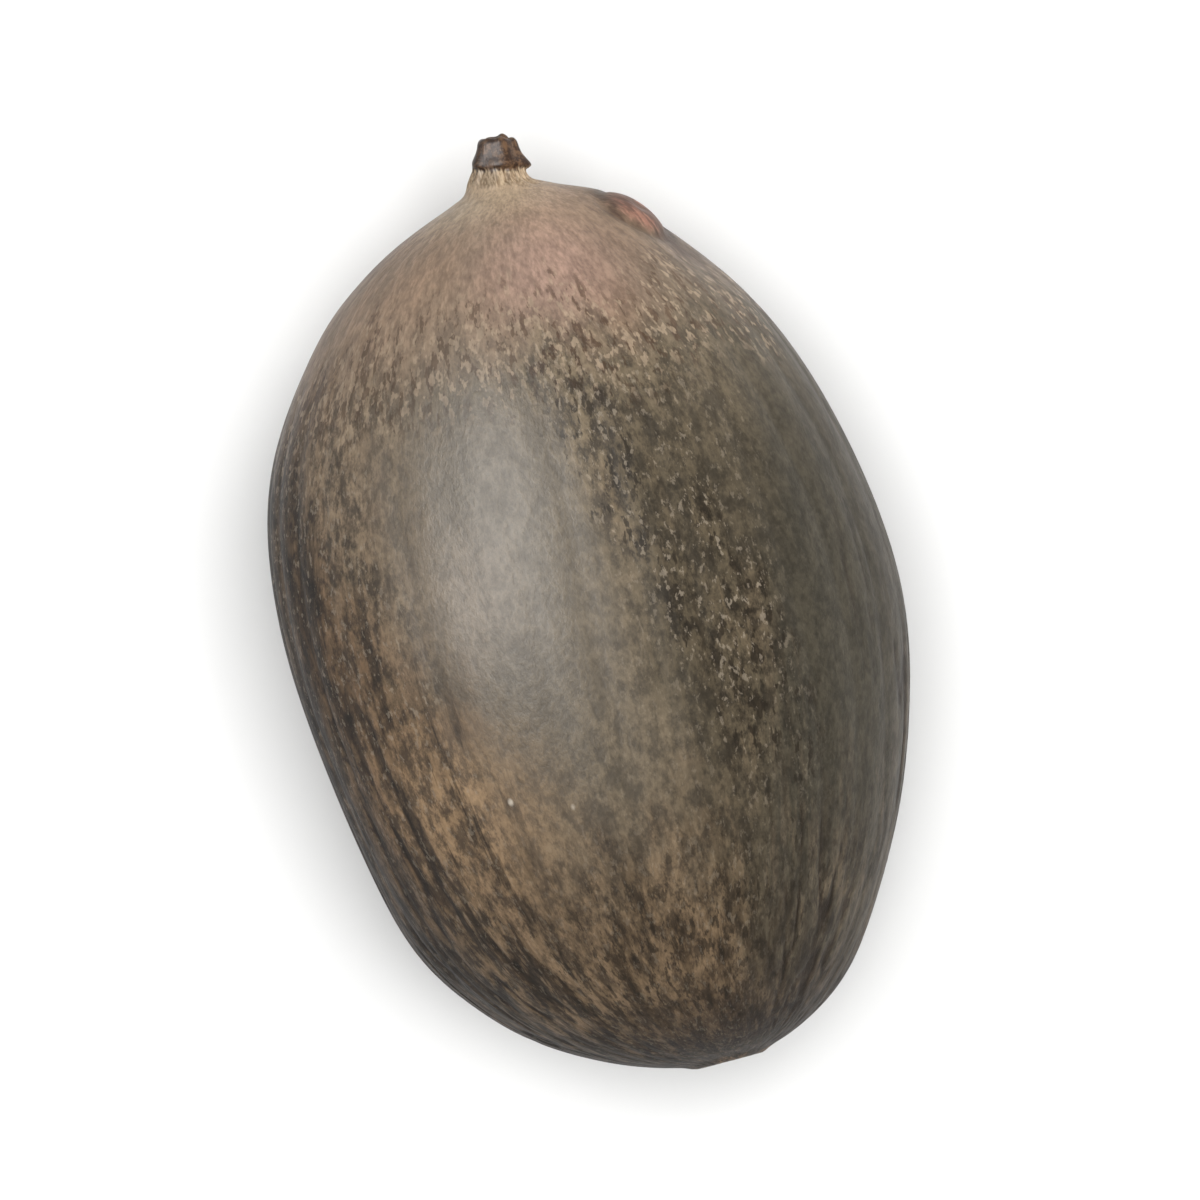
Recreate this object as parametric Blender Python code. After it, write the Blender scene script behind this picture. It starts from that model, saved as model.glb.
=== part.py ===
"""A lotus seed: one ripe, dry nutlet of the sacred lotus, lying on its side.

Metres, +Z up. The long axis lies along Y, with the withered style at +Y, and the seed rests on a
small flat spot under its weight. Round the long axis, azimuth 0 is +X and azimuth 90 degrees is
+Z, the upper side. Heights of the surface relief are measured outwards from a plain ellipsoid.
"""
from math import cos, exp, pi, radians, sin, sqrt

import bmesh
import bpy
from mathutils import Vector

MM = 0.001
MERGE_DISTANCE = 0.001 * MM

# The hard coat, an ellipsoid a little fuller in its tip half, with both ends set over towards +X
BODY_LENGTH = 16.1 * MM
BODY_WIDTH = 10.9 * MM
BODY_DEPTH = 10.6 * MM
TIP_FULLNESS = 0.045
POLE_SHIFT = 0.42 * MM
POLE_SHIFT_POWER = 10
FLAT_DEPTH = 0.2 * MM

# Its mesh: strips between one ring and the next, from the base pole to the tip pole
SEGMENTS = 112
RING_STRETCHES = ((0, 10, 6), (10, 134, 20), (134, 172, 14), (172, 180, 3))

# Slow swellings and hollows: azimuth in degrees, place along Y, spread and height in mm
SWELLINGS = (
    (8, -1.0, 2.1, 0.15),
    (0, 2.8, 1.8, -0.04),
    (0, -5.4, 1.2, -0.04),
    (0, -7.0, 0.9, 0.06),
    (16, 6.2, 0.9, -0.13),
    (14, 7.5, 0.6, 0.09),
    (180, -1.0, 2.2, -0.11),
    (182, -4.9, 1.6, 0.19),
    (182, -6.6, 0.9, 0.05),
    (176, 4.0, 1.8, 0.14),
    (178, 6.5, 0.7, 0.03),
    (70, -3.0, 2.6, 0.08),
    (112, 3.2, 2.4, -0.06),
    (236, 2.8, 2.4, 0.08),
    (310, -3.4, 2.2, -0.08),
    (322, 3.6, 2.0, 0.07),
)

# Lengthwise ribs. They fade into the smooth cap, at a share of the half length, and into the flat
# spot, at a share of the half depth, and grow lower where they run together at the base.
RIB_COUNT = 34
RIB_HEIGHT = 0.04 * MM
RIB_FADE_CAP = (0.30, 0.85)
RIB_FADE_FLAT = (0.86, 0.96)

# Slow waves that make the ribs wander and change in strength: cycles round the seed, radians along
# the half length, start in radians, and size as radians of drift or as a share of the height
RIB_DRIFTS = (
    (2, 0.0, 0.6, 1.3),
    (3, 0.0, 2.2, 0.9),
    (5, 0.0, 1.1, 0.7),
    (4, 2.4, 0.0, 0.8),
)
RIB_STRENGTH = (3, 1.9, -1.9, 0.35)

# The pore bump beside the style
PORE_AZIMUTH = radians(17)
PORE_ALONG = 7.05 * MM
PORE_RADIUS = 0.62 * MM
PORE_HEIGHT = 0.18 * MM

# The scar where the seed hung in its pod, a sunken disc with a low rim and a pit at the base pole
SCAR_WALL = (0.36 * MM, 0.60 * MM)
SCAR_DEPTH = 0.09 * MM
SCAR_RIM_HEIGHT = 0.05 * MM
SCAR_RIM_WIDTH = 0.17 * MM
SCAR_PIT_WALL = (0.06 * MM, 0.20 * MM)
SCAR_PIT_DEPTH = 0.16 * MM

# The withered style with its cupped stigma: radius and height over the coat in mm
STYLE_PROFILE = (
    (0.00, -0.80),
    (0.62, -0.80),
    (0.72, -0.12),
    (0.59, 0.10),
    (0.50, 0.28),
    (0.45, 0.42),
    (0.48, 0.50),
    (0.46, 0.60),
    (0.41, 0.74),
    (0.39, 0.87),
    (0.33, 0.96),
    (0.22, 0.97),
    (0.12, 0.90),
    (0.00, 0.88),
)
STYLE_SEGMENTS = 24
STYLE_FOOT_Z = 0.20 * MM
STYLE_LEAN = radians(11)
STYLE_RISE = radians(4)
STIGMA_START = 0.45 * MM
STIGMA_RADIUS = 0.48 * MM
STIGMA_OVERHANG = 0.06 * MM
COLLAR_RADIUS = 0.80 * MM
COLLAR_HEIGHT = 0.20 * MM

COAT_COLOUR = (0.155, 0.130, 0.105, 1.0)
COAT_ROUGHNESS = 0.55


def smooth_step(edges, value):
    """Rise from 0 to 1 as the value goes from the first edge to the second."""
    share = min(max((value - edges[0]) / (edges[1] - edges[0]), 0.0), 1.0)
    return share * share * (3.0 - 2.0 * share)


def ellipsoid_point(along, azimuth):
    """Give the point of the plain coat at a place along Y and an azimuth."""
    share = along / (BODY_LENGTH / 2)
    girth = sqrt(max(1.0 - share * share, 0.0))
    girth *= 1.0 + TIP_FULLNESS * share * (1.0 - share * share) ** 2
    return Vector((BODY_WIDTH / 2 * girth * cos(azimuth), along, BODY_DEPTH / 2 * girth * sin(azimuth)))


def ellipsoid_normal(point):
    """Give the outward direction of the plain coat at one of its points."""
    across = point.x / (BODY_WIDTH / 2) ** 2
    along = point.y / (BODY_LENGTH / 2) ** 2
    upward = point.z / (BODY_DEPTH / 2) ** 2
    return Vector((across, along, upward)).normalized()


def mound(point, centre, spread):
    """Give 1 at the centre and fade to 0 round it, like a bell."""
    return exp(-((point - centre).length / spread) ** 2)


def swelling_height(point):
    """Add up the slow swellings and hollows at a point of the coat."""
    height = 0.0
    for degrees, along, spread, swell in SWELLINGS:
        centre = ellipsoid_point(along * MM, radians(degrees))
        height += swell * MM * mound(point, centre, spread * MM)
    return height


def slow_wave(settings, share, azimuth):
    """Give one slow wave at a share of the half length and an azimuth."""
    around, lengthwise, start, size = settings
    return size * sin(around * azimuth + lengthwise * share + start)


def rib_height(point, azimuth):
    """Give the height of the ribs, which wander a little and change in strength."""
    share = point.y / (BODY_LENGTH / 2)
    drift = sum(slow_wave(settings, share, azimuth) for settings in RIB_DRIFTS)
    strength = 1.0 - RIB_STRENGTH[-1] + slow_wave(RIB_STRENGTH, share, azimuth)
    strength *= 1.0 - smooth_step(RIB_FADE_CAP, share)
    strength *= 1.0 - smooth_step(RIB_FADE_FLAT, -point.z / (BODY_DEPTH / 2))
    girth = sqrt(max(1.0 - share * share, 0.0))
    return RIB_HEIGHT * strength * girth * cos(RIB_COUNT * azimuth + drift)


def pore_height(point):
    """Give the height of the pore bump, a dome with a blunt top."""
    centre = ellipsoid_point(PORE_ALONG, PORE_AZIMUTH)
    distance = (point - centre).length / PORE_RADIUS
    return PORE_HEIGHT * exp(-distance ** 3)


def scar_height(point):
    """Give the relief of the scar at the base pole."""
    if point.y > 0:
        return 0.0
    radius = sqrt(point.x ** 2 + point.z ** 2)
    rim = SCAR_RIM_HEIGHT * exp(-((radius - SCAR_WALL[1]) / SCAR_RIM_WIDTH) ** 2)
    floor = SCAR_DEPTH * (1.0 - smooth_step(SCAR_WALL, radius))
    pit = SCAR_PIT_DEPTH * (1.0 - smooth_step(SCAR_PIT_WALL, radius))
    return rim - floor - pit


def collar_height(point):
    """Give the height of the low collar that the style stands on."""
    return COLLAR_HEIGHT * mound(point, style_foot(), COLLAR_RADIUS)


def coat_point(polar, azimuth):
    """Give a point of the finished coat; the polar angle is 0 at the base and pi at the tip."""
    along = -BODY_LENGTH / 2 * cos(polar)
    point = ellipsoid_point(along, azimuth)
    height = swelling_height(point) + rib_height(point, azimuth)
    height += pore_height(point) + scar_height(point) + collar_height(point)
    return point + ellipsoid_normal(point) * height + set_over(along)


def set_over(along):
    """Give the sideways shift at a place along Y, which grows quickly near the two ends."""
    return Vector((POLE_SHIFT * abs(along / (BODY_LENGTH / 2)) ** POLE_SHIFT_POWER, 0, 0))


def style_foot():
    """Give the point of the plain coat that the style grows from, a little above the pole."""
    upward = STYLE_FOOT_Z / (BODY_DEPTH / 2)
    return Vector((0, BODY_LENGTH / 2 * sqrt(1.0 - upward ** 2), STYLE_FOOT_Z))


def ring_angles():
    """List the polar angle of each ring between the two poles."""
    angles = []
    for start, end, strips in RING_STRETCHES:
        for strip in range(strips):
            angles.append(radians(start + (end - start) * (strip + 1) / strips))
    return angles[:-1]


def make_material():
    """Make the grey-brown, half-matt finish of the dry coat."""
    material = bpy.data.materials.new("seed_coat")
    material.use_nodes = True
    shader = material.node_tree.nodes["Principled BSDF"]
    shader.inputs["Base Color"].default_value = COAT_COLOUR
    shader.inputs["Roughness"].default_value = COAT_ROUGHNESS
    shader.inputs["Metallic"].default_value = 0.0
    return material


def add_object(name, mesh_data, material):
    """Turn a bmesh into an object of the scene, shaded smooth."""
    mesh = bpy.data.meshes.new(name)
    mesh_data.to_mesh(mesh)
    mesh_data.free()
    mesh.materials.append(material)
    mesh.shade_smooth()
    item = bpy.data.objects.new(name, mesh)
    bpy.context.scene.collection.objects.link(item)
    return item


def cut_flat(mesh_data):
    """Cut the small flat spot that the seed rests on, and close it."""
    height = -BODY_DEPTH / 2 + FLAT_DEPTH
    parts = mesh_data.verts[:] + mesh_data.edges[:] + mesh_data.faces[:]
    bmesh.ops.bisect_plane(mesh_data, geom=parts, plane_co=(0, 0, height), plane_no=(0, 0, -1),
                           clear_outer=True)
    rim = [edge for edge in mesh_data.edges if edge.is_boundary]
    bmesh.ops.contextual_create(mesh_data, geom=rim)


def make_coat(material):
    """Model the coat ring by ring, with its relief, and cut the flat spot."""
    mesh_data = bmesh.new()
    azimuths = [2 * pi * step / SEGMENTS for step in range(SEGMENTS)]
    base_pole = mesh_data.verts.new(coat_point(0.0, 0.0))
    tip_pole = mesh_data.verts.new(coat_point(pi, 0.0))
    rings = [[mesh_data.verts.new(coat_point(polar, azimuth)) for azimuth in azimuths]
             for polar in ring_angles()]
    for step in range(SEGMENTS):
        following = (step + 1) % SEGMENTS
        mesh_data.faces.new((base_pole, rings[0][following], rings[0][step]))
        mesh_data.faces.new((tip_pole, rings[-1][step], rings[-1][following]))
        for lower, upper in zip(rings, rings[1:]):
            mesh_data.faces.new((lower[step], lower[following], upper[following], upper[step]))
    bmesh.ops.recalc_face_normals(mesh_data, faces=mesh_data.faces)
    cut_flat(mesh_data)
    return add_object("lotus_seed", mesh_data, material)


def make_style(material):
    """Turn the style's profile about its own axis, with the stigma hanging over to one side."""
    mesh_data = bmesh.new()
    profile = [mesh_data.verts.new((radius * MM, 0, height * MM)) for radius, height in STYLE_PROFILE]
    lines = [mesh_data.edges.new(pair) for pair in zip(profile, profile[1:])]
    bmesh.ops.spin(mesh_data, geom=profile + lines, axis=(0, 0, 1), cent=(0, 0, 0),
                   angle=2 * pi, steps=STYLE_SEGMENTS, use_merge=True)
    bmesh.ops.remove_doubles(mesh_data, verts=mesh_data.verts, dist=MERGE_DISTANCE)
    bmesh.ops.recalc_face_normals(mesh_data, faces=mesh_data.faces)
    for vertex in mesh_data.verts:
        if vertex.co.z > STIGMA_START:
            vertex.co.x += STIGMA_OVERHANG * (1.0 + vertex.co.x / STIGMA_RADIUS) / 2
    style = add_object("style", mesh_data, material)
    style.location = style_foot() + set_over(style_foot().y)
    axis = Vector((sin(STYLE_LEAN), cos(STYLE_LEAN), sin(STYLE_RISE)))
    style.rotation_mode = "QUATERNION"
    style.rotation_quaternion = axis.to_track_quat("Z", "X")
    style.hide_render = True
    style.display_type = "WIRE"
    return style


def join_style(coat, style):
    """Fuse the style into the coat, because the two grew as one piece."""
    union = coat.modifiers.new("Style", "BOOLEAN")
    union.operation = "UNION"
    union.solver = "EXACT"
    union.object = style
    bpy.context.view_layer.objects.active = coat
    bpy.ops.object.modifier_apply(modifier=union.name)
    bpy.data.objects.remove(style)


def stand_on_ground(item):
    """Put the object's lowest point on Z 0, and the middle of its box over the origin."""
    corners = [Vector(corner) for corner in item.bound_box]
    low = Vector([min(corner[axis] for corner in corners) for axis in range(3)])
    high = Vector([max(corner[axis] for corner in corners) for axis in range(3)])
    item.location = (-(low.x + high.x) / 2, -(low.y + high.y) / 2, -low.z)


for leftover in list(bpy.data.objects):
    bpy.data.objects.remove(leftover)

coat_material = make_material()
lotus_seed = make_coat(coat_material)
join_style(lotus_seed, make_style(coat_material))
stand_on_ground(lotus_seed)
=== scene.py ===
from math import cos, radians, sin, sqrt

import bpy
import numpy as np
from mathutils import Matrix, Vector, noise


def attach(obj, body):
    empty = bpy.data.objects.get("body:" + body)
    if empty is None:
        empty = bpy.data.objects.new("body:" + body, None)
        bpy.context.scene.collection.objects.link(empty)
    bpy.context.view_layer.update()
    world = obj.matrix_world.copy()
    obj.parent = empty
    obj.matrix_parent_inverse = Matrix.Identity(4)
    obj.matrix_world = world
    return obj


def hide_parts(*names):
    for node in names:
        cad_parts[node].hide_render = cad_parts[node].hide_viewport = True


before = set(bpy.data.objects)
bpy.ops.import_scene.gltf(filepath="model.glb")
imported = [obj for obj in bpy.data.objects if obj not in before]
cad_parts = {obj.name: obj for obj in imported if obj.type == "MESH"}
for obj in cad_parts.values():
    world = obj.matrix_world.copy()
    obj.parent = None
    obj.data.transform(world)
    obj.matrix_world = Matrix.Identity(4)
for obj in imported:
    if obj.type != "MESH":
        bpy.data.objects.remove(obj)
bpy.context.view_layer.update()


# The hard coat. The seed's wall is one woody shell that ripened in a cell of its pod and dried
# there: an egg shape a little fuller at the tip end, with slow swellings where it pressed on the
# cell. Both of its ends sit over towards +X. It is shaped in millimetres about its own middle.
MM = 0.001
BODY_LENGTH = 16.1
BODY_WIDTH = 10.9
BODY_DEPTH = 10.6
TIP_FULLNESS = 0.045
POLE_SHIFT = 0.42
POLE_SHIFT_POWER = 10
FLAT_DEPTH = 0.2
COAT_MIDDLE = (-0.0554, -0.5003, BODY_DEPTH / 2 - FLAT_DEPTH)
COAT_STRIPS = 88
COAT_RINGS = 50

# how far the tip is opened for the style, in rings of the coat
OPEN_RINGS = 1.5

# azimuth in degrees from +X towards +Z, place along Y, spread and height
SWELLINGS = (
    (8, -1.0, 2.1, 0.15),
    (0, 2.8, 1.8, -0.04),
    (0, -5.4, 1.2, -0.04),
    (0, -7.0, 0.9, 0.06),
    (16, 6.2, 0.9, -0.13),
    (14, 7.5, 0.6, 0.09),
    (180, -1.0, 2.2, -0.11),
    (182, -4.9, 1.6, 0.19),
    (182, -6.6, 0.9, 0.05),
    (176, 4.0, 1.8, 0.14),
    (178, 6.5, 0.7, 0.03),
    (70, -3.0, 2.6, 0.08),
    (112, 3.2, 2.4, -0.06),
    (236, 2.8, 2.4, 0.08),
    (310, -3.4, 2.2, -0.08),
    (322, 3.6, 2.0, 0.07),
)


def coat_point(along, degrees):
    """Give the point of the plain coat at a place along Y and an azimuth."""
    share = along / (BODY_LENGTH / 2)
    girth = sqrt(1.0 - share * share) * (1.0 + TIP_FULLNESS * share * (1.0 - share * share) ** 2)
    out = BODY_WIDTH / 2 * girth * cos(radians(degrees))
    up = BODY_DEPTH / 2 * girth * sin(radians(degrees))
    return np.array((out, along, up))


def smooth_step(low, high, values):
    """Rise from 0 to 1 as the values go from low to high."""
    share = np.clip((values - low) / (high - low), 0.0, 1.0)
    return share * share * (3.0 - 2.0 * share)


def mound(places, centre, spread):
    """Give 1 at the centre and fade to 0 round it, like a bell."""
    return np.exp(-(np.linalg.norm(places - centre, axis=1) / spread) ** 2)


def read_places(item):
    """Read the places of an object's vertices."""
    places = np.empty(len(item.data.vertices) * 3)
    item.data.vertices.foreach_get("co", places)
    return places.reshape(-1, 3)


def write_places(item, places):
    """Move an object's vertices to new places."""
    item.data.vertices.foreach_set("co", places.ravel())
    item.data.update()


def select_vertices(item, wanted):
    """Select the wanted vertices of an object, and nothing else, and go into edit mode."""
    bpy.ops.object.mode_set(mode="EDIT")
    bpy.ops.mesh.select_mode(type="VERT")
    bpy.ops.mesh.select_all(action="DESELECT")
    bpy.ops.object.mode_set(mode="OBJECT")
    item.data.vertices.foreach_set("select", wanted)
    bpy.ops.object.mode_set(mode="EDIT")


bpy.ops.object.select_all(action="DESELECT")
bpy.ops.mesh.primitive_uv_sphere_add(segments=COAT_STRIPS, ring_count=COAT_RINGS, radius=1.0,
                                     rotation=(radians(-90), 0, 0))
seed = bpy.context.object
seed.name = "ripe_seed"
bpy.ops.object.transform_apply(location=True, rotation=True, scale=True)
bpy.ops.transform.resize(value=(BODY_WIDTH / 2, BODY_LENGTH / 2, BODY_DEPTH / 2))
bpy.ops.object.transform_apply(location=True, rotation=True, scale=True)
places = read_places(seed)
opening = places[:, 1] > BODY_LENGTH / 2 * cos(radians(OPEN_RINGS * 180 / COAT_RINGS))

# the rings round the tip slide up over the coat, until the style's foot is in the middle of them
STYLE_FOOT = np.array((POLE_SHIFT, 8.044, 0.20))
STYLE_SLIDE = (0.7, 3.0)

reach = np.hypot(places[:, 0], places[:, 2])
slide = STYLE_FOOT[2] * (1.0 - smooth_step(*STYLE_SLIDE, reach)) * (places[:, 1] > 0)
places[:, 2] += slide
level = (places[:, 0] / (BODY_WIDTH / 2)) ** 2 + (places[:, 2] / (BODY_DEPTH / 2)) ** 2
on_coat = BODY_LENGTH / 2 * np.sqrt(np.maximum(1.0 - level, 0.0))
places[:, 1] = np.where(slide > 0, on_coat, places[:, 1])

share = places[:, 1] / (BODY_LENGTH / 2)
fullness = 1.0 + TIP_FULLNESS * share * (1.0 - share ** 2) ** 2
places[:, 0] *= fullness
places[:, 2] *= fullness
outward = places / np.array((BODY_WIDTH, BODY_LENGTH, BODY_DEPTH)) ** 2
outward /= np.linalg.norm(outward, axis=1)[:, None]
swell = sum(height * mound(places, coat_point(along, degrees), spread)
            for degrees, along, spread, height in SWELLINGS)


# The withered style. The flower's style dried on the tip of the coat and stayed there: a short
# tan neck with a dark, cupped stigma that hangs over on one side. It is drawn out of an opening
# in the coat's own tip, ring by ring, because the two grew as one piece.
STYLE_LEAN = radians(11)
STYLE_RISE = radians(4)
STYLE_START = 0.05
STYLE_REACH = 0.64
LEAN_HEIGHT = 0.35
COLLAR_RADIUS = 0.80
COLLAR_HEIGHT = 0.20

# the coat's ring that edges the opening
EDGE_RING = 2

# radius, and height over the foot
STYLE_RINGS = (
    (0.60, 0.10),
    (0.52, 0.22),
    (0.46, 0.33),
    (0.42, 0.40),
    (0.455, 0.45),
    (0.475, 0.51),
    (0.42, 0.62),
    (0.375, 0.77),
    (0.36, 0.86),
    (0.30, 0.94),
    (0.20, 0.94),
    (0.11, 0.87),
)

swell += COLLAR_HEIGHT * mound(places, STYLE_FOOT - (POLE_SHIFT, 0, 0), COLLAR_RADIUS)
places += outward * swell[:, None]
places[:, 0] += POLE_SHIFT * np.minimum(np.abs(share), 1.0) ** POLE_SHIFT_POWER
write_places(seed, places)
select_vertices(seed, opening)
bpy.ops.mesh.delete(type="VERT")
bpy.ops.mesh.select_non_manifold()
ring_radius = BODY_WIDTH / 2 * sin(radians(EDGE_RING * 180 / COAT_RINGS))
for radius, height in STYLE_RINGS:
    centre = (STYLE_FOOT[0], STYLE_FOOT[1] + height, STYLE_FOOT[2])
    grow = radius / ring_radius
    bpy.ops.mesh.extrude_region_move()
    bpy.ops.transform.resize(value=(grow, 0.0, grow), center_override=centre)
    ring_radius = radius
bpy.ops.mesh.extrude_region_move()
bpy.ops.mesh.merge(type="CENTER")
bpy.ops.mesh.select_all(action="SELECT")
bpy.ops.mesh.normals_make_consistent(inside=False)
bpy.ops.object.mode_set(mode="OBJECT")

places = read_places(seed)
from_foot = places - STYLE_FOOT
reach = np.hypot(from_foot[:, 0], from_foot[:, 2])
upright = (from_foot[:, 1] > STYLE_START) & (reach < STYLE_REACH)
lean = smooth_step(0.0, LEAN_HEIGHT, from_foot[:, 1]) * upright
places[:, 0] += lean * sin(STYLE_LEAN) * from_foot[:, 1]
places[:, 1] -= lean * sin(STYLE_LEAN) * from_foot[:, 0] + lean * sin(STYLE_RISE) * from_foot[:, 2]
places[:, 2] += lean * sin(STYLE_RISE) * from_foot[:, 1]
write_places(seed, places)
smoothing = seed.modifiers.new("smoothing", "SUBSURF")
smoothing.levels = 2
smoothing.render_levels = 2
bpy.ops.object.modifier_apply(modifier="smoothing")
bpy.ops.object.shade_smooth()


# The coat's skin. The ripe coat dried to a thin skin of waxy, grey-brown cork over the woody wall.
# It is russet on the left side and browner at the base. Its right flank and underside are
# painted darker, and its lower left rim and base end nearly black, as shade.
COAT_BROWN = (85, 77, 65)
COAT_GREY = (76, 68, 56)
RUSSET_FLANK = (86, 69, 52)
TAN_FLANK = (121, 102, 80)
TAN_SHOULDER = (117, 105, 91)
BASE_BROWN = (86, 73, 58)
DUSKY_BROWN = (55, 50, 41)
PAINTED_SHADE_FLANK = (49, 46, 39)
PAINTED_SHADE_UNDERSIDE = (43, 35, 26)
PAINTED_SHADE_RIM = (31, 22, 14)

# share of the half width over which the unrolled coat draws in at its ends
END_CROWDING = 0.25

# patterns: how fine they are across, along and in depth, detail and roughness
CLOUDS = ((0.30, 0.16, 0.30), 2.0, 0.55)
RAGGED = ((1.1, 0.6, 1.1), 4.0, 0.70)

# where each part of the coat's colouring begins, and where it is full
LEFT_EDGE = (-0.36, -0.86)
RIGHT_EDGE = (0.50, 0.72)
UNDER_EDGE = (0.50, -0.20)
BASE_EDGE = (-2.0, -6.0)
DUSKY_EDGE = (0.5, 1.6)
END_EDGE = (-6.2, -7.6)

# azimuth and place along Y, the radii between which each fades out, its share and its colour
PALE_ZONES = (
    (128, -2.7, 0.6, 2.9, 0.75, TAN_FLANK),
    (119, 1.2, 0.3, 2.2, 0.45, TAN_SHOULDER),
    (138, 4.0, 0.6, 2.8, 0.55, TAN_SHOULDER),
)


def add_step(kind, feeds, **settings):
    """Add a node to the coat's finish, set it up, and feed its sockets."""
    step = tree.nodes.new(kind)
    for name, value in settings.items():
        setattr(step, name, value)
    for socket, feed in feeds.items():
        if isinstance(feed, bpy.types.NodeSocket):
            tree.links.new(feed, step.inputs[socket])
        else:
            step.inputs[socket].default_value = feed
    return step


def number(operation, *feeds):
    """Do one sum on numbers."""
    return add_step("ShaderNodeMath", dict(enumerate(feeds)), operation=operation).outputs[0]


def times(first, *others):
    """Multiply numbers together."""
    for other in others:
        first = number("MULTIPLY", first, other)
    return first


def plus(first, *others):
    """Add numbers together."""
    for other in others:
        first = number("ADD", first, other)
    return first


def largest(first, *others):
    """Take the largest of some numbers."""
    for other in others:
        first = number("MAXIMUM", first, other)
    return first


def direction(operation, *feeds):
    """Do one sum on places, directions or colours."""
    step = add_step("ShaderNodeVectorMath", dict(enumerate(feeds)), operation=operation)
    return step.outputs[1 if operation in {"DISTANCE", "DOT_PRODUCT", "LENGTH"} else 0]


def rise(value, low, high, start=0.0, end=1.0):
    """Go smoothly from start to end as the value goes from low to high."""
    feeds = {0: value, 1: low, 2: high, 3: start, 4: end}
    return add_step("ShaderNodeMapRange", feeds, interpolation_type="SMOOTHSTEP").outputs[0]


def grain(vector, per_mm, detail, roughness, distortion=0.0):
    """Give a random pattern from 0 to 1, as fine as per_mm says across, along and in depth."""
    feeds = {
        "Vector": direction("MULTIPLY", vector, per_mm),
        "Scale": 1.0,
        "Detail": detail,
        "Roughness": roughness,
        "Distortion": distortion,
    }
    return add_step("ShaderNodeTexNoise", feeds).outputs[0]


def zone(degrees, along, inner, outer):
    """Mark a round zone of the coat: 1 inside it, fading to 0 outside."""
    distance = direction("DISTANCE", at, tuple(coat_point(along, degrees)))
    return rise(distance, inner, outer, 1.0, 0.0)


def paint(shade):
    """Turn a colour as seen, in red, green and blue up to 255, into light."""
    return tuple(((value / 255 + 0.055) / 1.055) ** 2.4 for value in shade) + (1.0,)


def tint(share, below, above):
    """Lay one colour over another by a share."""
    return add_step("ShaderNodeMix", {0: share, 6: below, 7: above}, data_type="RGBA").outputs[2]


coat_finish = bpy.data.materials.new("dry_seed_coat")
coat_finish.use_nodes = True
tree = coat_finish.node_tree
shader = tree.nodes["Principled BSDF"]

# place in millimetres from the coat's middle, and the same with the coat unrolled round its axis
to_middle = {
    "Vector": add_step("ShaderNodeTexCoord", {}).outputs["Object"],
    "Location": tuple(-value for value in COAT_MIDDLE),
    "Scale": (1 / MM,) * 3,
}
at = add_step("ShaderNodeMapping", to_middle).outputs[0]
across, along, above = add_step("ShaderNodeSeparateXYZ", {0: at}).outputs
end_share = number("MINIMUM", number("ABSOLUTE", number("DIVIDE", along, BODY_LENGTH / 2)), 1.0)
pole_slide = times(number("POWER", end_share, POLE_SHIFT_POWER), POLE_SHIFT)
from_pole = number("SUBTRACT", across, pole_slide)
from_axis = add_step("ShaderNodeCombineXYZ", {0: from_pole, 1: 0.0, 2: above}).outputs[0]
axis_distance = direction("LENGTH", from_axis)
round_axis = direction("NORMALIZE", from_axis)
rightwards, _, upwards = add_step("ShaderNodeSeparateXYZ", {0: round_axis}).outputs
unrolled = times(axis_distance, (1.0 + END_CROWDING) * BODY_WIDTH / 2)
unrolled = number("DIVIDE", unrolled, plus(axis_distance, END_CROWDING * BODY_WIDTH / 2))
unrolled = direction("MULTIPLY", round_axis, unrolled)
lengthways = add_step("ShaderNodeCombineXYZ", {0: 0.0, 1: along, 2: 0.0}).outputs[0]
unrolled = direction("ADD", unrolled, lengthways)

clouds = grain(unrolled, *CLOUDS)
ragged = number("SUBTRACT", grain(unrolled, *RAGGED), 0.5)
left = rise(plus(rightwards, times(ragged, 0.7), times(along, 0.045)), *LEFT_EDGE)
right = rise(plus(rightwards, times(along, -0.04)), *RIGHT_EDGE)
below = rise(upwards, *UNDER_EDGE)
base = rise(plus(along, times(ragged, 5.0)), *BASE_EDGE)
dusky = rise(plus(across, times(ragged, 1.6)), *DUSKY_EDGE)
dusky = times(dusky, rise(upwards, -0.2, 0.3), rise(along, 5.2, 1.8, 0.15, 1.0))
# painted shade: the lower left rim and the base end are painted nearly black, as shade
painted_shade_rim = times(rise(upwards, 0.66, 0.25), rise(rightwards, 0.2, -0.4))
painted_shade_rim = largest(painted_shade_rim, rise(along, *END_EDGE))

colour = tint(rise(clouds, 0.42, 0.60), paint(COAT_BROWN), paint(COAT_GREY))
colour = tint(left, colour, paint(RUSSET_FLANK))
for *place, weight, shade in PALE_ZONES:
    colour = tint(times(zone(*place), weight), colour, paint(shade))
colour = tint(base, colour, paint(BASE_BROWN))
colour = tint(times(dusky, 0.85), colour, paint(DUSKY_BROWN))
# painted shade: the right flank is painted darker, as shade, most along its middle
right_share = times(rise(along, 4.5, 0.0, 0.45, 0.9), rise(along, -6.5, -3.8, 0.35, 1.0))
colour = tint(times(right, right_share), colour, paint(PAINTED_SHADE_FLANK))
# painted shade: the underside is painted darker all round, as shade
colour = tint(times(below, 0.75), colour, paint(PAINTED_SHADE_UNDERSIDE))
colour = tint(times(painted_shade_rim, 0.85), colour, paint(PAINTED_SHADE_RIM))


# The ribs and furrows. As the seed dried, its wall sank between the fibres that run from end to
# end: low ribs, which fade into the smooth cap, and fine dark furrows, which run together at the
# base. Dark and light stripes follow the fibres, above all on the left flank.
RIB_COUNT = 34
RIB_HEIGHT = 0.034
RIB_SHARPNESS = 0.8
FURROW_DEPTH = 0.04
FURROW_WIDTH = 0.14
UNEVENNESS = 0.012
FURROW_DARK = (30, 23, 17)
STRIPE_DARK = (34, 27, 20)
STRIPE_LIGHT = (110, 94, 77)

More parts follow.
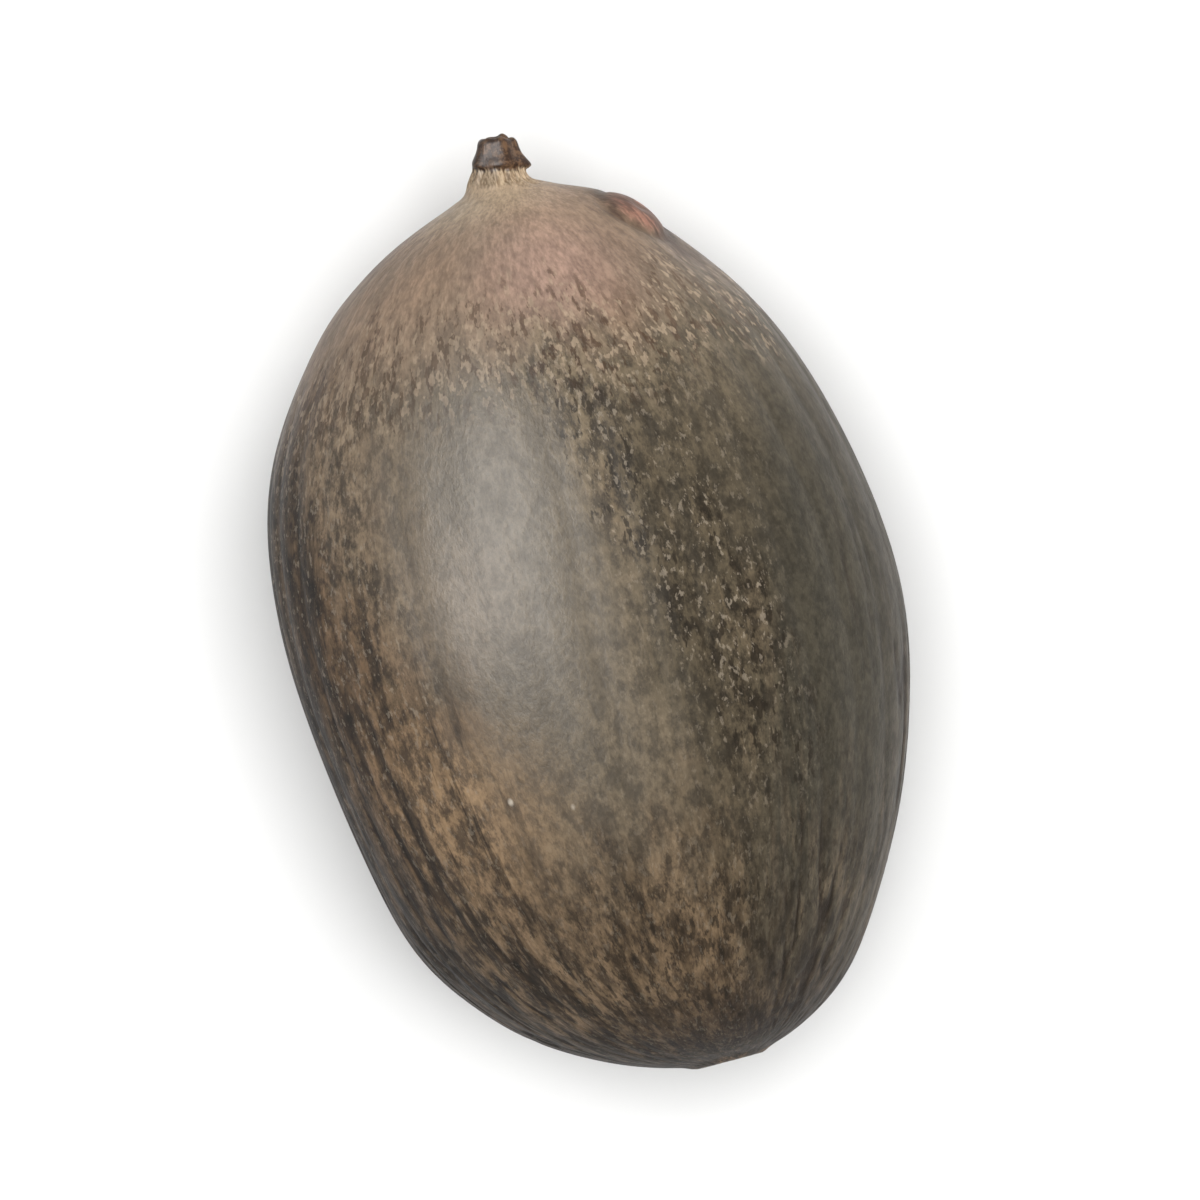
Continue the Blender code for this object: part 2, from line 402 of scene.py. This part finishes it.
# slow waves: how many round the coat and along it, start and size
RIB_STRENGTH = (3, 1.9, -1.9, 0.35)
RIB_DRIFTS = (
    (2, 0.0, 0.6, 1.3),
    (3, 0.0, 2.2, 0.9),
    (5, 0.0, 1.1, 0.7),
    (4, 2.4, 0.0, 0.8),
)

# random relief: how fine it is across and along, and where it starts
FURROW_PATHS = (9.5, 1.3, 3.0)
FURROW_WOBBLE = (2.2 * 9.5, 3.2, 9.0)
FURROW_PATCHES = (1.4, 1.6, 20.0)
BROAD_UNEVENNESS = (3.2, 1.8, 31.0)
FINE_UNEVENNESS = (7.0, 3.2, 37.0)

# patterns: how fine they are across, along and in depth, detail, roughness and twist
BELT_PATCHES = ((0.85, 0.42, 0.85), 2.0, 0.5)
STRIPES = ((2.6, 0.26, 2.6), 4.0, 0.62, 0.15)


def slow_wave(around, lengthwise, start, size):
    """Give one slow wave over the coat."""
    return size * np.sin(around * azimuth + lengthwise * share + start)


def coat_noise(fine_across, fine_along, offset):
    """Give a random pattern drawn out along the coat, from about -1 to 1."""
    across = np.cos(azimuth) * fine_across * spread
    above = np.sin(azimuth) * fine_across * spread
    spots = np.stack((across, share * fine_along + offset, above), axis=1)
    return np.array([noise.noise(spot) for spot in spots])


places = read_places(seed)
normals = np.empty(places.size)
seed.data.vertex_normals.foreach_get("vector", normals)
normals = normals.reshape(-1, 3)
share = np.clip(places[:, 1] / (BODY_LENGTH / 2), -1.0, 1.0)
over = POLE_SHIFT * np.abs(share) ** POLE_SHIFT_POWER
azimuth = np.arctan2(places[:, 2] / BODY_DEPTH, (places[:, 0] - over) / BODY_WIDTH)
girth = np.sqrt(1.0 - share ** 2)
spread = (1.0 + END_CROWDING) * girth / (girth + END_CROWDING)
off_cap = 1.0 - smooth_step(0.30, 0.85, share)
off_flat = 1.0 - smooth_step(0.86, 0.96, -places[:, 2] / (BODY_DEPTH / 2))
crown = smooth_step(0.55, 0.95, np.sin(azimuth))

drift = sum(slow_wave(*settings) for settings in RIB_DRIFTS)
strength = (0.65 + slow_wave(*RIB_STRENGTH)) * girth * off_cap * off_flat * (1.0 - 0.6 * crown)
ribs = 2.0 * np.abs(np.cos((RIB_COUNT * azimuth + drift) / 2)) ** RIB_SHARPNESS - 1.2
relief = RIB_HEIGHT * strength * ribs

lines = coat_noise(*FURROW_PATHS) + 0.22 * coat_noise(*FURROW_WOBBLE)
patches = np.clip(0.75 + 1.2 * coat_noise(*FURROW_PATCHES), 0.0, 1.3)
lower = 0.15 + 0.85 * (1.0 - smooth_step(-0.70, 0.40, share))
furrows = (1.0 - smooth_step(0.0, FURROW_WIDTH, np.abs(lines))) * patches * lower
furrows *= (1.0 - 0.8 * crown) * off_cap * off_flat
relief -= FURROW_DEPTH * furrows * np.minimum(girth * 2.0, 1.0)
unevenness = coat_noise(*BROAD_UNEVENNESS) + 0.5 * coat_noise(*FINE_UNEVENNESS)
relief += UNEVENNESS * unevenness * off_flat * girth
furrow_mark = seed.data.attributes.new("furrow", "FLOAT", "POINT")
furrow_mark.data.foreach_set("value", furrows)

belt = plus(across, times(along, 0.20), -2.1)
belt = rise(plus(number("ABSOLUTE", belt), times(ragged, 2.6)), 1.7, 0.5)
patchy = rise(grain(unrolled, *BELT_PATCHES), 0.40, 0.56, 0.45, 1.0)
belt = times(belt, patchy, rise(above, -1.0, 1.0), rise(rightwards, 0.76, 0.56, 0.25, 1.0))
belt = largest(belt, times(rise(clouds, 0.50, 0.62), below), times(base, 0.7))
striped = largest(left, times(base, 0.55), times(belt, 0.30), times(below, 0.6))
striped = times(striped, rise(along, 5.4, 2.0))
stripes = grain(unrolled, *STRIPES)
colour = tint(times(rise(stripes, 0.51, 0.59), striped, 0.85), colour, paint(STRIPE_DARK))
colour = tint(times(rise(stripes, 0.49, 0.40), striped, 0.28), colour, paint(STRIPE_LIGHT))
furrow = add_step("ShaderNodeAttribute", {}, attribute_name="furrow").outputs["Fac"]
colour = tint(rise(furrow, 0.05, 0.5, 0.0, 0.85), colour, paint(FURROW_DARK))


# The flecks. The skin is mottled all over with dark corky spots and with light crumbs where it
# flaked. They are densest in a belt right of the middle, and rubbed nearly smooth on the crown.
MOTTLE_LIGHT = (1.50, 1.41, 1.27, 1.0)
MOTTLE_DARK = (0.29, 0.27, 0.255, 1.0)
DARK_FLECK = (30, 25, 19)
LIGHT_CRUMB = (132, 121, 106)
RUBBED_MIDDLE = (-1.5, 1.7, 0.0)
RUBBED_SCALE = (0.52, 0.26, 0.0)
MOTTLE = ((3.3, 2.0, 3.3), 4.0, 0.74)
SPOTS = ((5.2, 2.4, 5.2), 3.0, 0.65)
CRUMBS = ((9.0, 5.0, 9.0), 3.0, 0.65)

rubbed = direction("MULTIPLY", direction("SUBTRACT", at, RUBBED_MIDDLE), RUBBED_SCALE)
rubbed = rise(plus(direction("LENGTH", rubbed), ragged), 1.35, 0.60)
rubbed = times(rubbed, rise(above, 0.5, 2.5))
flecked_left = rise(rightwards, -0.32, -0.62)
flecked = largest(rise(belt, 0.0, 1.0, 0.55, 1.0), flecked_left, times(base, 0.6))
flecked = times(flecked, rise(rubbed, 0.0, 1.0, 1.0, 0.40), rise(right, 0.0, 1.0, 1.0, 0.60))
mottle = grain(unrolled, *MOTTLE)
mottled = direction("MULTIPLY", colour, tint(rise(mottle, 0.38, 0.62), MOTTLE_LIGHT, MOTTLE_DARK))
colour = tint(times(flecked, 0.85), colour, mottled)
spots = grain(unrolled, *SPOTS)
dark_flecks = times(rise(spots, 0.54, 0.60), rise(belt, 0.1, 0.9, 0.10, 0.80))
colour = tint(dark_flecks, colour, paint(DARK_FLECK))
crumbs = rise(grain(unrolled, *CRUMBS), 0.57, 0.64)
crumbs = times(crumbs, rise(flecked, 0.2, 1.0, 0.0, 0.44), rise(along, -6.0, 1.0, 0.40, 1.0))
colour = tint(crumbs, colour, paint(LIGHT_CRUMB))


# The cap. Round the tip the coat stayed pale and smooth where the pod's rim covered it: tan, with
# a pink blush above the middle and cream at the style's foot. It ends in a ragged brink, where
# the dark skin breaks up into spots and crumbs, lowest right of the middle.
CAP_WRINKLE = 0.012
CAP_WRINKLES = (5.0, 9.0, 43.0)
CAP_FADE = (4.4, 6.6)
BRINK_FADES = ((3.7, 5.1), (6.9, 5.9))
PINK_ZONE = (74, 6.4, 0.3, 2.2)
CREAM_ZONE = (90, 8.0, 0.5, 1.7)
BRINK_CRUMBS = ((6.2, 4.2, 6.2), 2.0, 0.6)
CAP_TAN = (126, 108, 91)
CAP_LIGHT_TAN = (134, 112, 93)
CAP_BROWN = (104, 83, 63)
CAP_PINK = (139, 114, 102)
CAP_CREAM = (166, 148, 124)
BRINK_DARK = (62, 46, 34)
BRINK_LIGHT = (146, 129, 109)

relief += CAP_WRINKLE * coat_noise(*CAP_WRINKLES) * smooth_step(0.70, 0.90, share)
cap_dip = times(rise(across, 0.6, 1.6, 0.0, 0.5), rise(across, 3.4, 2.3))
cap_height = plus(along, times(ragged, 2.6), times(left, 0.4), cap_dip)
cap_colour = tint(rise(clouds, 0.42, 0.58), paint(CAP_TAN), paint(CAP_LIGHT_TAN))
cap_colour = tint(times(left, 0.7), cap_colour, paint(CAP_BROWN))
cap_colour = tint(times(zone(*PINK_ZONE), 0.75), cap_colour, paint(CAP_PINK))
cap_colour = tint(times(zone(*CREAM_ZONE), 0.7), cap_colour, paint(CAP_CREAM))
cap_shade = times(rise(mottle, 0.36, 0.64, 1.15, 0.82), rise(across, 0.8, 2.4, 1.0, 0.63))
cap_colour = direction("MULTIPLY", cap_colour, cap_shade)
colour = tint(rise(cap_height, *CAP_FADE, 0.0, 0.95), colour, cap_colour)
brink = times(*(rise(cap_height, *fade) for fade in BRINK_FADES))
colour = tint(times(rise(spots, 0.53, 0.59), brink, 0.60), colour, paint(BRINK_DARK))
brink_crumbs = rise(grain(unrolled, *BRINK_CRUMBS), 0.55, 0.62)
colour = tint(times(brink_crumbs, brink, 0.50), colour, paint(BRINK_LIGHT))


# The pore bump beside the style. Every lotus seed has this blunt reddish knob there, over its
# breathing pore: it has a small dimple in its top and a crease round its foot. The crease and the
# cap's edge beyond the knob are painted dark, as shade.
PORE_AZIMUTH = 17
PORE_ALONG = 7.05
PORE_RADIUS = 0.62
PORE_HEIGHT = 0.18
DIMPLE_RADIUS = 0.16
DIMPLE_DEPTH = 0.05
CREASE_RADIUS = 0.74
CREASE_WIDTH = 0.10
CREASE_DEPTH = 0.04
PORE_RED = (128, 91, 77)
PAINTED_SHADE_CREASE = (50, 38, 29)
PAINTED_SHADE_EDGE = (58, 43, 36)

pore = coat_point(PORE_ALONG, PORE_AZIMUTH)
pore[0] += POLE_SHIFT * (PORE_ALONG / (BODY_LENGTH / 2)) ** POLE_SHIFT_POWER
pore_distance = np.linalg.norm(places - pore, axis=1)
relief += PORE_HEIGHT * np.exp(-(pore_distance / PORE_RADIUS) ** 3)
relief -= DIMPLE_DEPTH * np.exp(-(pore_distance / DIMPLE_RADIUS) ** 2)
relief -= CREASE_DEPTH * np.exp(-((pore_distance - CREASE_RADIUS) / CREASE_WIDTH) ** 2)

from_pore = plus(direction("DISTANCE", at, tuple(pore)), times(ragged, 0.5))
pore_colour = direction("MULTIPLY", paint(PORE_RED)[:3], rise(mottle, 0.36, 0.64, 1.2, 0.75))
colour = tint(rise(from_pore, 0.72, 0.45, 0.0, 0.85), colour, pore_colour)
# painted shade: the crease round the knob's foot is painted dark, as shade
crease = times(rise(from_pore, 0.56, 0.70), rise(from_pore, 1.10, 0.78))
colour = tint(times(crease, rise(upwards, 0.60, 0.10, 0.15, 0.9)), colour, paint(PAINTED_SHADE_CREASE))
# painted shade: the cap's right edge beyond the knob is painted dark, as shade
cap_edge = times(rise(along, 5.4, 6.2), rise(along, 7.8, 7.3))
cap_edge = times(cap_edge, rise(plus(rightwards, ragged), 0.84, 1.0))
colour = tint(times(cap_edge, 0.75), colour, paint(PAINTED_SHADE_EDGE))


# The scar at the base. The seed hung in its pod from this end: a small sunken disc of torn tissue
# with a low broken rim, and a dark pit in the middle, where the cord of vessels tore off.
SCAR_WALL = (0.36, 0.60)
SCAR_DEPTH = 0.09
SCAR_RIM_RADIUS = 0.60
SCAR_RIM_WIDTH = 0.17
SCAR_RIM_HEIGHT = 0.05
PIT_WALL = (0.06, 0.20)
PIT_DEPTH = 0.16
SCAR_RAGGEDNESS = (2.0, 3.0, 51.0)
SCAR_TAN = (124, 100, 74)
SCAR_BROWN = (64, 48, 35)
PIT_DARK = (30, 22, 16)

from_scar = np.hypot(places[:, 0] - over, places[:, 2]) + 0.05 * coat_noise(*SCAR_RAGGEDNESS)
scar = SCAR_RIM_HEIGHT * np.exp(-((from_scar - SCAR_RIM_RADIUS) / SCAR_RIM_WIDTH) ** 2)
scar -= SCAR_DEPTH * (1.0 - smooth_step(*SCAR_WALL, from_scar))
scar -= PIT_DEPTH * (1.0 - smooth_step(*PIT_WALL, from_scar))
relief += scar * (share < 0)

from_pit = direction("DISTANCE", at, (POLE_SHIFT, -BODY_LENGTH / 2, 0.0))
scar_colour = tint(rise(mottle, 0.40, 0.60), paint(SCAR_TAN), paint(SCAR_BROWN))
on_scar = rise(plus(from_pit, times(ragged, 1.3)), 0.78, 0.50, 0.0, 0.85)
colour = tint(on_scar, colour, scar_colour)
in_pit = rise(plus(from_pit, times(ragged, 0.4)), 0.32, 0.18, 0.0, 0.9)
colour = tint(in_pit, colour, paint(PIT_DARK))


# The style's skin. The neck shrank in wrinkles over its tan fibres, and the stigma dried nearly
# black, with a lobed edge that hangs over on the +X side like a small lip.
STYLE_SURROUND = 0.75
NECK_FOOT = (0.02, 0.16)
NECK_TOP = (0.40, 0.47)
STIGMA_START = (0.42, 0.50)
NECK_WRINKLES = 11
NECK_WRINKLE = 0.022
STIGMA_LOBES = 0.045
LIP_HEIGHT = 0.50
LIP_THICKNESS = 0.11
LIP_OUT = 0.12
LIP_DOWN = 0.10
FIBRES = ((9.0, 1.5, 9.0), 2.0, 0.6)
STIGMA_CRUST = ((7.0, 7.0, 7.0), 3.0, 0.7)
NECK_CREAM = (146, 129, 107)
NECK_TAN = (108, 90, 70)
STIGMA_DARK = (44, 32, 25)
STIGMA_BROWN = (82, 62, 46)

from_foot = places - STYLE_FOOT
lean_axis = np.array((sin(STYLE_LEAN), cos(STYLE_LEAN), sin(STYLE_RISE)))
style_height = from_foot @ (lean_axis / np.linalg.norm(lean_axis))
beside = from_foot - np.outer(style_height, lean_axis)
style_radius = np.linalg.norm(beside, axis=1)
near_style = style_radius < STYLE_SURROUND
on_style = smooth_step(*NECK_FOOT, style_height) * near_style
stigma = smooth_step(*STIGMA_START, style_height) * near_style
neck = on_style * (1.0 - smooth_step(*NECK_TOP, style_height))
turn = np.arctan2(beside[:, 2], beside[:, 0])
ripple = np.stack((np.cos(turn) * 1.6, style_height * 2.0, np.sin(turn) * 1.6 + 60.0), axis=1)
ripple = np.array([noise.noise(spot) for spot in ripple])
relief *= 1.0 - on_style
relief += NECK_WRINKLE * neck * (np.sin(NECK_WRINKLES * turn + 5.0 * ripple) + ripple)
relief += STIGMA_LOBES * stigma * (1.4 * ripple + 0.4 * np.sin(5 * turn + 1.0))
lip = np.exp(-((style_height - LIP_HEIGHT) / LIP_THICKNESS) ** 2)
lip *= np.clip(np.cos(turn + 0.35), 0.0, 1.0) ** 2
lip *= (style_radius > 0.25) & near_style

up_style = direction("SUBTRACT", at, tuple(STYLE_FOOT))
up_style = direction("DOT_PRODUCT", up_style, tuple(lean_axis))
fibres = grain(unrolled, *FIBRES)
neck_colour = tint(rise(fibres, 0.40, 0.62), paint(NECK_CREAM), paint(NECK_TAN))
colour = tint(rise(up_style, 0.04, 0.20), colour, neck_colour)
stigma_crust = rise(grain(at, *STIGMA_CRUST), 0.42, 0.62)
stigma_colour = tint(stigma_crust, paint(STIGMA_DARK), paint(STIGMA_BROWN))
stigma_edge = plus(up_style, times(fibres, 0.25), -0.125)
colour = tint(rise(stigma_edge, 0.34, 0.44), colour, stigma_colour)


# The surface as a whole. The relief is pressed into the mesh, and the seed rests on the small
# flat that it wore underneath. The dry skin is dull, with a fine grain and a few specks of dust.
DUST_WHITE = (198, 188, 172)
DUST_SCATTER = (0.9, 0.7, 0.9)
FINE_GRAIN = ((10.0, 7.0, 10.0), 2.0, 0.6)
SKIN_DULLNESS = (0.40, 0.46)
SKIN_SHINE = 0.11

places += normals * relief[:, None]
places[:, 0] += LIP_OUT * lip
places[:, 1] -= LIP_DOWN * lip
places[:, 2] = np.maximum(places[:, 2], FLAT_DEPTH - BODY_DEPTH / 2)
write_places(seed, (places + COAT_MIDDLE) * MM)

scattered = direction("MULTIPLY", unrolled, DUST_SCATTER)
dust = add_step("ShaderNodeTexVoronoi", {"Vector": scattered, "Scale": 1.0}).outputs
dust_chance = add_step("ShaderNodeSeparateXYZ", {0: dust["Color"]}).outputs[0]
dusty = times(rise(dust_chance, 0.80, 0.95), rise(dust["Distance"], 0.075, 0.035), 0.75)
colour = tint(dusty, colour, paint(DUST_WHITE))
fine_grain = grain(unrolled, *FINE_GRAIN)
colour = direction("MULTIPLY", colour, rise(fine_grain, 0.35, 0.65, 0.86, 1.12))
tree.links.new(colour, shader.inputs["Base Color"])
dullness = plus(rise(mottle, 0.35, 0.65, *SKIN_DULLNESS), times(striped, 0.12))
tree.links.new(dullness, shader.inputs["Roughness"])
shader.inputs["Specular IOR Level"].default_value = SKIN_SHINE
roughened = plus(times(mottle, -0.012), times(fine_grain, 0.006))
bump = add_step("ShaderNodeBump", {"Strength": 1.0, "Distance": MM, "Height": roughened}).outputs[0]
tree.links.new(bump, shader.inputs["Normal"])
seed.data.materials.append(coat_finish)
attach(seed, "root")
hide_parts("lotus_seed")


# The table that the seed lies on: a plain sheet of matt card, nearly white, wide enough to fill
# the picture from every side.
TABLE_WIDTH = 1.6
CARD_WHITE = (0.62, 0.62, 0.615, 1.0)
CARD_ROUGHNESS = 0.9

bpy.ops.object.select_all(action="DESELECT")
bpy.ops.mesh.primitive_plane_add(size=TABLE_WIDTH, location=(0, 0, 0))
table = bpy.context.object
table.name = "pale_table"
card_finish = bpy.data.materials.new("matt_white_card")
card_finish.use_nodes = True
card_shader = card_finish.node_tree.nodes["Principled BSDF"]
card_shader.inputs["Base Color"].default_value = CARD_WHITE
card_shader.inputs["Roughness"].default_value = CARD_ROUGHNESS
table.data.materials.append(card_finish)


# The lamps. Three soft boxes hang round the seed: one at the upper left that makes the long soft
# sheen on the crown, a broad one overhead that lights it evenly, and a weak one low on the right
# that lifts the right flank. The room round them is white.
ROOM_WHITE = (1.0, 1.0, 1.0, 1.0)
ROOM_LIGHT = 0.15


def add_softbox(name, towards, distance, width, length, watts, lie=(0.0, 1.0, 0.0)):
    """Hang a soft oblong lamp in a direction from the seed, and turn its length along another."""
    bpy.ops.object.light_add(type="AREA")
    lamp = bpy.context.object
    lamp.name = name
    away = Vector(towards).normalized()
    lengthways = (Vector(lie) - away * away.dot(Vector(lie))).normalized()
    lamp.location = away * distance + Vector((0, 0, COAT_MIDDLE[2] * MM))
    lamp.rotation_euler = Matrix((lengthways.cross(away), lengthways, away)).transposed().to_euler()
    lamp.data.shape = "RECTANGLE"
    lamp.data.size = width
    lamp.data.size_y = length
    lamp.data.energy = watts
    lamp.visible_camera = False
    return lamp


sheen = add_softbox("sheen_softbox", towards=(-0.46, 0.34, 0.85), distance=0.40, width=0.25,
                    length=0.44, watts=12.0, lie=(0.42, 1.0, 0.0))
sheen.visible_diffuse = False
overhead = add_softbox("overhead_softbox", towards=(0.03, 0.0, 1.0), distance=0.75, width=0.42,
                       length=0.42, watts=9.2)
overhead.visible_glossy = False
flank = add_softbox("flank_softbox", towards=(0.94, 0.12, 0.16), distance=0.35, width=0.10,
                    length=0.22, watts=1.5)
flank.visible_glossy = False
white_room = bpy.data.worlds.new("white_room")
white_room.use_nodes = True
backdrop = white_room.node_tree.nodes["Background"]
backdrop.inputs["Color"].default_value = ROOM_WHITE
backdrop.inputs["Strength"].default_value = ROOM_LIGHT
bpy.context.scene.world = white_room
bpy.context.scene.view_settings.view_transform = "Standard"


# The camera looks straight down from above with a long lens, turned so that the seed leans a
# little to the left in the picture, and so far away that the picture is 21.5 mm wide.
PICTURE_WIDTH = 0.02148
PICTURE_TURN = radians(-14.85)
PICTURE_MIDDLE = (0.0002, 0.00002)
LENS = 800.0
SENSOR = 36.0
NEAREST = 0.01
FARTHEST = 5.0

camera_height = COAT_MIDDLE[2] * MM + PICTURE_WIDTH * LENS / SENSOR
bpy.ops.object.camera_add(location=(*PICTURE_MIDDLE, camera_height), rotation=(0, 0, PICTURE_TURN))
camera = bpy.context.object
camera.data.lens = LENS
camera.data.sensor_width = SENSOR
camera.data.clip_start = NEAREST
camera.data.clip_end = FARTHEST
bpy.context.scene.camera = camera
